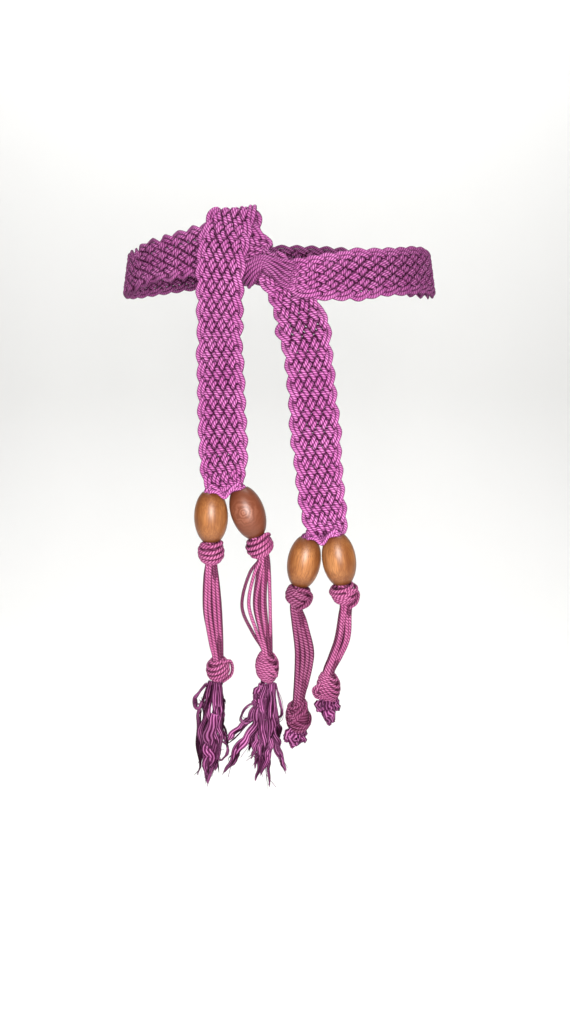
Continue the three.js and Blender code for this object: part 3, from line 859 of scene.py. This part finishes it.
def wrap(centre, radii, across, offset, tilt, swing, radius, boxy, painted_shade, steps=56):
    """One turn of cord on a boxy ball: tilt lowers its right side and swing lowers its front."""
    tilted = Matrix.Rotation(math.radians(tilt), 3, "Y")
    swung = Matrix.Rotation(math.radians(swing), 3, "X")
    turned_axes = np.array(tilted @ swung)
    angle = np.radians(np.linspace(0, 360, steps, endpoint=False))[:, None]
    ring = (1 - abs(offset) ** boxy) ** (1 / boxy)
    on_ball = ring * (np.cos(angle) * turned_axes[:, 0] + np.sin(angle) * turned_axes[:, 1])
    on_ball = on_ball + offset * turned_axes[:, 2]
    points = centre + (on_ball * radii) @ np.array(across).T
    return tube(points, radius, unit(points - centre), closed=True, painted_shade=painted_shade)


def core(centre, radii, across):
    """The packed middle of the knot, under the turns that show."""
    levels = np.radians(np.linspace(-88, 88, 15))
    local = np.array(across)
    points = centre + np.sin(levels)[:, None] * radii[2] * local[:, 2]
    wide, flat = np.cos(levels) * radii[0], radii[1] / radii[0]
    return tube(points, wide, local[:, 1], sides=20, flat=flat, painted_shade=core_shade)


def bight(centre, radii, across, rows, radius, painted_shade):
    """A loop of cord pulled over the knot, through places given as shares of its half sizes."""
    places = np.array(rows, float) * radii * (1, -1, 1)
    points = centre + smooth_through(places, 9) @ np.array(across).T
    return tube(points, radius, unit(points - centre), painted_shade=painted_shade)


# Columns: offset up the knot, tilt and swing in degrees, size
upper_turns = {
    "left_outer": [
        (0.80, -6, 8, 0.96), (0.46, -5, 15, 1.0), (0.10, -2, 20, 1.03),
        (-0.26, 3, 24, 1.0), (-0.58, 7, 26, 0.92),
    ],
    "left_inner": [
        (0.80, -3, 6, 0.95), (0.46, -8, 10, 1.0), (0.10, -12, 13, 1.03),
        (-0.28, -15, 15, 0.98), (-0.60, -18, 16, 0.88),
    ],
    "right_inner": [
        (0.80, 4, 8, 0.95), (0.46, 14, 12, 1.0), (0.08, 24, 14, 1.02),
        (-0.32, 28, 12, 0.94), (-0.62, 20, 10, 0.84),
    ],
    "right_outer": [
        (0.76, -8, 8, 1.0), (0.44, -2, 12, 1.06), (0.08, 10, 16, 0.96),
        (-0.30, 14, 14, 0.86), (-0.62, 10, 10, 0.78),
    ],
}
lower_turns = {
    "left_outer": [
        (0.84, -8, 10, 0.94), (0.56, -14, 14, 1.0), (0.26, -17, 16, 1.02),
        (-0.04, -18, 18, 1.03), (-0.34, -14, 18, 1.0), (-0.66, -8, 14, 0.95),
    ],
    "left_inner": [
        (0.86, 22, 10, 0.92), (0.66, 30, 14, 0.98), (0.44, 36, 16, 1.0), (0.22, 38, 16, 1.03),
        (0.00, 38, 17, 1.03), (-0.22, 36, 16, 1.03), (-0.44, 32, 16, 1.0), (-0.68, 24, 14, 0.96),
    ],
    "right_inner": [
        (0.86, -20, 8, 0.92), (0.64, -30, 12, 0.98), (0.40, -34, 14, 1.0), (0.12, 24, 16, 1.03),
        (-0.14, 4, 18, 1.03), (-0.38, -4, 18, 1.02), (-0.60, -8, 16, 0.98), (-0.80, -4, 12, 0.92),
    ],
    "right_outer": [
        (0.86, 20, 10, 0.90), (0.66, 30, 14, 0.96), (0.44, 34, 16, 1.0), (0.20, 36, 16, 1.03),
        (-0.04, 34, 17, 1.03), (-0.28, 28, 16, 1.02), (-0.52, 20, 16, 0.98), (-0.76, 10, 14, 0.92),
    ],
}
# Places of each bight: across, forward and up
upper_bights = {
    "left_outer": [[(-0.7, 0.5, 0.85), (0.1, 0.98, 0.70), (0.92, 0.45, 0.95), (0.5, -0.2, 0.98)]],
    "left_inner": [[(0.2, 0.9, 0.75), (0.85, 0.6, 0.95), (1.02, 0.1, 0.78), (0.7, -0.5, 0.6)]],
    "right_inner": [
        [
            (-0.2, 0.95, 0.85), (0.62, 0.85, 0.80), (1.08, 0.40, 0.25), (0.86, 0.72, -0.40),
            (0.1, 0.98, -0.85),
        ],
        [
            (-0.5, 0.85, 0.60), (0.35, 1.02, 0.40), (0.80, 0.75, 0.05), (0.55, 0.92, -0.50),
            (0.0, 0.9, -0.95),
        ],
    ],
    "right_outer": [
        [
            (0.1, 0.98, 0.45), (0.78, 0.80, 0.50), (1.05, 0.35, -0.05), (0.78, 0.70, -0.65),
            (0.2, 0.85, -0.95),
        ],
        [(-0.95, 0.2, 0.35), (-0.6, 0.85, 0.20), (0.0, 1.04, 0.05), (0.5, 0.9, -0.2)],
    ],
}
lower_bights = {
    "left_outer": [
        [
            (0.5, 0.75, 0.75), (1.15, 0.45, 0.80), (1.40, 0.35, 0.25), (1.25, 0.45, -0.35),
            (0.45, 0.7, -0.85),
        ],
    ],
    "left_inner": [[(-0.9, 0.3, 0.5), (-0.2, 0.95, 0.55), (0.5, 0.95, 0.1), (0.9, 0.5, -0.5)]],
    "right_inner": [[(-0.8, 0.5, -0.1), (-0.1, 1.0, 0.25), (0.55, 0.9, 0.55), (0.6, 0.3, 0.9)]],
    "right_outer": [
        [
            (-0.3, 0.7, 0.40), (-0.95, 0.65, 0.25), (-1.45, 0.35, -0.15), (-1.15, 0.50, -0.55),
            (-0.4, 0.75, -0.5),
        ],
        [
            (-0.5, 0.6, 0.15), (-1.05, 0.70, 0.02), (-1.20, 0.60, -0.25), (-0.8, 0.70, -0.4),
            (-0.3, 0.75, -0.3),
        ],
    ],
}
# How square a knot is from the side: 2 would be a ball and more is boxier
upper_boxy, lower_boxy = 3.2, 2.3
# The middle's size as shares of the knot's
upper_core, lower_core = (0.92, 0.92, 0.95), (0.93, 0.93, 0.96)


def knot(name, kind, centre, across, wide, tall, half, boxy, core_share, turns, bights):
    """One knot of a tail: its packed middle, the turns that show and the bights over them."""
    radii = np.array([wide / 2 - half, wide / 2 - half, tall / 2])
    parts = [core(centre, radii * core_share, across)]
    for offset, tilt, swing, size in turns[name]:
        turned = (offset, tilt, swing, half, boxy, painted_tail_shade[name])
        parts.append(wrap(centre, radii * size, across, *turned))
    for rows in bights[name]:
        parts.append(bight(centre, radii * bight_lift, across, rows, half, painted_tail_shade[name]))
    piece_from(f"{kind}_turns_{name}", parts, rose_cord, [f"{kind}_knot_{name}"])


for tail in tails:
    knot(
        tail["name"], "upper", tail["upper_knot"], Matrix.Rotation(-math.radians(tail["lean"]), 3, "Y"),
        tail["upper_wide"] * upper_knot_wide, upper_knot_tall, knot_cord_radius,
        upper_boxy, upper_core, upper_turns, upper_bights,
    )
    knot(
        tail["name"], "lower", tail["lower_knot"], Matrix.Identity(3),
        tail["lower_wide"] * lower_knot_wide, tail["tall"], wound_cord_radius,
        lower_boxy, lower_core, lower_turns, lower_bights,
    )

# Frayed ends
# Under the last knot the cords are unpicked into flat shreds and loose fibres. The left pair
# hang as long curling tassels and the right pair are short stubs.
frayed_cord = cord_material(
    "frayed_cord",
    groove_shade=(0.010, 0.0001, 0.005),
    body=(0.115, 0.008, 0.070),
    ridge_highlight=(0.56, 0.18, 0.43),
    twist_pitch=0.030,
    twist_starts=9,
    bump=0.00022,
)
tassel_length = 0.0755
stub_length = 0.016
lock_width = 0.006
shred_fullness = 1.5
fibre_radius = 0.0002
# Shreds further forward than this share of the bundle's diameter get less painted shade than the rest
lit_forward = 0.15
front_shred_shade, back_shred_shade, companion_shade = 0.22, 0.72, 0.42
# Crimp of a shred's path and edges as shares of its width, and the sway of its face and painted shade
path_crimp, edge_crimp, face_sway, shade_sway = 0.16, 0.16, 0.5, 0.30
# Each shred's width as a share of a lock's width, how far forward it lies as a share of the
# bundle's diameter, and its path as (across, down) in shares of the frayed length
shreds = {
    "left_outer": [
        (0.60, 0.3, [
            (-0.06, 0), (-0.10, 0.18), (-0.09, 0.39), (-0.12, 0.60), (-0.13, 0.83), (-0.12, 1.04),
        ]),
        (0.60, 0.6, [
            (-0.01, 0), (-0.03, 0.22), (-0.03, 0.47), (-0.04, 0.64), (-0.07, 0.85), (-0.11, 1.01),
        ]),
        (0.55, 0.4, [
            (0.01, 0), (0.02, 0.22), (0, 0.41), (0.01, 0.56), (-0.01, 0.73), (-0.05, 0.83),
        ]),
        (0.30, 0.0, [
            (-0.08, 0), (-0.14, 0.18), (-0.19, 0.30), (-0.20, 0.43), (-0.21, 0.64),
            (-0.19, 0.87), (-0.22, 0.98),
        ]),
        (0.30, 0.2, [
            (-0.10, 0.01), (-0.20, 0.14), (-0.23, 0.20), (-0.20, 0.26), (-0.16, 0.22), (-0.18, 0.18),
        ]),
        (0.95, 0.8, [
            (-0.03, 0.30), (-0.07, 0.47), (-0.10, 0.58), (-0.09, 0.70), (-0.11, 0.83), (-0.12, 0.94),
        ]),
        (0.40, 0.1, [
            (0.02, 0), (0.04, 0.26), (0.02, 0.39), (0.04, 0.52), (0.07, 0.61), (0.08, 0.64),
        ]),
        (0.18, 0.3, [
            (0.02, 0.59), (0.08, 0.65), (0.07, 0.75), (0.01, 0.80), (-0.03, 0.73), (0.02, 0.66),
        ]),
        (0.50, 0.1, [
            (-0.04, 0), (-0.08, 0.22), (-0.14, 0.39), (-0.18, 0.56), (-0.17, 0.73), (-0.18, 0.83),
        ]),
        (0.20, 0.1, [
            (0.04, 0), (0.01, 0.13), (0.05, 0.20), (0.02, 0.28), (0.05, 0.34), (0.02, 0.43),
        ]),
        (0.55, -0.4, [(0, 0), (0, 0.28), (-0.06, 0.56), (-0.02, 0.78), (-0.05, 0.96)]),
        (0.55, -0.5, [(-0.04, 0), (-0.11, 0.28), (-0.15, 0.56), (-0.15, 0.85)]),
    ],
    "left_inner": [
        (0.58, 0.5, [
            (-0.01, 0), (-0.06, 0.19), (-0.04, 0.45), (-0.05, 0.70), (-0.09, 0.89), (-0.12, 1.00),
        ]),
        (0.48, 0.3, [
            (0.01, 0), (-0.01, 0.23), (0, 0.49), (-0.01, 0.70), (0.01, 0.87), (0.02, 1.06),
        ]),
        (0.58, 0.6, [
            (0.04, 0), (0.05, 0.19), (0.04, 0.45), (0.03, 0.61), (-0.01, 0.78), (-0.07, 0.93),
        ]),
        (0.62, 0.2, [
            (0.05, 0), (0.07, 0.28), (0.07, 0.53), (0.10, 0.68), (0.14, 0.81), (0.18, 0.91),
        ]),
        (0.72, 0.4, [
            (-0.04, 0), (-0.08, 0.28), (-0.14, 0.47), (-0.25, 0.61), (-0.34, 0.78), (-0.43, 0.93),
        ]),
        (0.58, 0.3, [
            (-0.06, 0.01), (-0.11, 0.25), (-0.18, 0.38), (-0.27, 0.45), (-0.35, 0.54), (-0.40, 0.59),
        ]),
        (0.45, 0.1, [
            (-0.05, 0.14), (-0.12, 0.49), (-0.21, 0.61), (-0.28, 0.70), (-0.32, 0.81), (-0.34, 0.85),
        ]),
        (0.45, 0.2, [(-0.04, 0.14), (-0.07, 0.45), (-0.11, 0.59), (-0.13, 0.70), (-0.16, 0.78)]),
        (0.40, 0.4, [(-0.02, 0.14), (-0.06, 0.53), (-0.08, 0.70), (-0.11, 0.78), (-0.12, 0.87)]),
        (0.17, 0.5, [
            (-0.09, 0.19), (-0.18, 0.22), (-0.24, 0.30), (-0.25, 0.37), (-0.20, 0.40),
            (-0.13, 0.34), (-0.12, 0.28),
        ]),
        (0.18, 0.2, [
            (0.08, 0.01), (0.12, 0.19), (0.14, 0.30), (0.11, 0.36), (0.08, 0.38), (0.07, 0.49),
        ]),
        (0.35, 0.0, [(0.06, 0.07), (0.09, 0.36), (0.11, 0.47), (0.11, 0.57), (0.07, 0.56)]),
        (0.70, 0.5, [(-0.05, 0), (-0.09, 0.09), (-0.10, 0.17), (-0.11, 0.25)]),
        (0.55, -0.4, [(0.02, 0), (0.02, 0.28), (0, 0.56), (-0.02, 0.82)]),
        (0.55, -0.4, [(-0.04, 0), (-0.07, 0.35), (-0.15, 0.56), (-0.18, 0.73)]),
    ],
    "right_inner": [
        (0.95, 0.5, [(-0.26, -0.25), (-0.43, 0.04), (-0.48, 0.17), (-0.42, 0.36)]),
        (1.05, 0.6, [(-0.09, -0.20), (-0.17, 0.17), (-0.22, 0.40), (-0.20, 0.62)]),
        (0.85, 0.4, [(0.13, -0.20), (0.13, 0.13), (0.19, 0.40)]),
        (0.95, -0.2, [(-0.10, -0.20), (0, 0.20), (-0.02, 0.50)]),
    ],
    "right_outer": [
        (0.72, 0.4, [(-0.30, -0.20), (-0.39, 0.17), (-0.43, 0.42)]),
        (0.95, 0.6, [(0, -0.20), (0.03, 0.30), (0.04, 0.62), (0.05, 1.05)]),
        (0.68, 0.3, [(0.26, -0.20), (0.35, 0.17), (0.31, 0.40)]),
        (0.75, 0.5, [(-0.17, -0.20), (-0.20, 0.22), (-0.17, 0.48)]),
    ],
}
fray = np.random.default_rng(11)


def ribbon(places, wide, twist, deep, flat=0.30):
    """A ragged flat shred along the places, wavy at its edges and drawn out to a point."""
    points = smooth_through(places, 7)
    share = np.linspace(0, 1, len(points))
    start, beat = fray.uniform(0, 2 * math.pi), fray.uniform(9, 15)
    crimp = wide * path_crimp * np.sin(share * math.pi)
    points[:, 0] += crimp * np.sin(share * beat * 2.1 + start)
    points[:, 1] += crimp * np.cos(share * beat * 1.6 + start)
    size = wide / 2 * (0.72 + 0.38 * np.sin(share * math.pi)) * np.sqrt(1 - share**4) + 0.00008
    size *= 1 + edge_crimp * (np.sin(share * beat + start) + 0.5 * np.sin(share * beat * 2.7))
    wagged = twist + face_sway * np.sin(share * beat * 0.6 + start)
    face = np.stack([np.sin(wagged), -np.cos(wagged), np.zeros(len(points))], axis=1)
    # Painted shade along the shred, swaying about the share given for its depth
    painted_shade = np.clip(deep + shade_sway * np.sin(share * beat * 0.8 + start), 0, 0.96)
    return tube(points, size, face, flat=flat, painted_shade=painted_shade)


def strayed(places, amount):
    """The same places, each moved a little, and more so towards the tip."""
    share = np.linspace(0.25, 1, len(places))[:, None]
    return places + fray.normal(0, amount, places.shape) * share


# For each kind: how far a shred lies off its depth, how far its companions stray from it, and
# how many companions and fibres it has
tassel_fray = (0.0012, 0.0019, 2, 1)
stub_fray = (0.0004, 0.0006, 2, 1)
for tail in tails:
    name = tail["name"]
    long = tail["end"] == 0
    length = tassel_length if long else stub_length
    nudge, drift, companions, fibres = tassel_fray if long else stub_fray
    root = tail["lower_knot"] - np.array([0, 0, tail["tall"] / 2])
    parts = []
    for wide, forward, path in shreds[name]:
        depth = forward * bundle_diameter
        across, fallen = np.array(path).T
        level = np.full(len(path), -depth)
        places = root + np.stack([across * length, level, -fallen * length], axis=1)
        places[:, 1] += fray.normal(0, nudge, len(path))
        deep = front_shred_shade if forward > lit_forward else back_shred_shade
        size = wide * lock_width * shred_fullness
        parts.append(ribbon(places, size, fray.uniform(-0.35, 0.35), deep))
        for _ in range(companions):
            size = wide * lock_width * fray.uniform(0.25, 0.55)
            beside = strayed(places, drift)
            parts.append(ribbon(beside, size, fray.uniform(-1.2, 1.2), deep + companion_shade))
        for _ in range(fibres):
            fibre = smooth_through(strayed(places, 1.1 * drift), 8)
            parts.append(tube(fibre, fibre_radius, frontward, sides=5))
    kind = "tassel" if long else "frayed_stub"
    piece_from(f"{kind}_shreds_{name}", parts, frayed_cord, [f"{kind}_{name}"])

# Floor, backdrop and light
# A pale seamless floor and backdrop well behind the belt, under broad soft studio lights.
floor_height = -0.62
backdrop_y = 1.5
sweep_radius = 0.5
sweep_steps = 12
half_span = 3.0
sweep_start = backdrop_y - sweep_radius
sweep = [(-half_span, floor_height), (sweep_start, floor_height)]
for k in range(1, sweep_steps):
    angle = math.radians(90 * k / sweep_steps)
    back, up = sweep_radius * math.sin(angle), sweep_radius * (1 - math.cos(angle))
    sweep.append((sweep_start + back, floor_height + up))
sweep += [(backdrop_y, floor_height + sweep_radius), (backdrop_y, half_span)]
corners = [(side * half_span, y, z) for y, z in sweep for side in (-1, 1)]
sheets = [(2 * i, 2 * i + 1, 2 * i + 3, 2 * i + 2) for i in range(len(sweep) - 1)]
paper_mesh = bpy.data.meshes.new("floor")
paper_mesh.from_pydata(corners, [], sheets)
paper_mesh.shade_smooth()
paper = bpy.data.objects.new("floor", paper_mesh)
scene.collection.objects.link(paper)
paper_white, _, _ = new_material("pale_paper", (0.86, 0.86, 0.85), 0.9)
paper_mesh.materials.append(paper_white)
paper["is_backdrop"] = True


def soft_light(name, place, target, size, power, colour=(1, 1, 1)):
    data = bpy.data.lights.new(name, "AREA")
    data.shape = "RECTANGLE"
    data.size, data.size_y = size
    data.energy = power
    data.color = colour
    light = bpy.data.objects.new(name, data)
    light.location = place
    light.rotation_euler = (Vector(target) - Vector(place)).to_track_quat("-Z", "Y").to_euler()
    scene.collection.objects.link(light)


soft_light("key", (0.03, -0.69, -0.08), (0, -0.1, -0.16), (0.22, 0.22), 8.3, (1.0, 0.98, 0.95))
soft_light("fill", (-0.6, -1.4, 0.1), (0, 0, -0.15), (0.8, 1.0), 1.4, (0.97, 0.98, 1.0))
soft_light("top", (0, 0.2, 2.2), (0, 1.3, -0.3), (2.4, 1.2), 76)
room_light = 0.05
world = bpy.data.worlds.new("studio")
scene.world = world
world.use_nodes = True
world.node_tree.nodes["Background"].inputs[0].default_value = (1, 1, 1, 1)
world.node_tree.nodes["Background"].inputs[1].default_value = room_light
scene.view_settings.view_transform = "Standard"

# Sizes
# The finished belt's box, leaving out the floor and backdrop.
low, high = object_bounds()
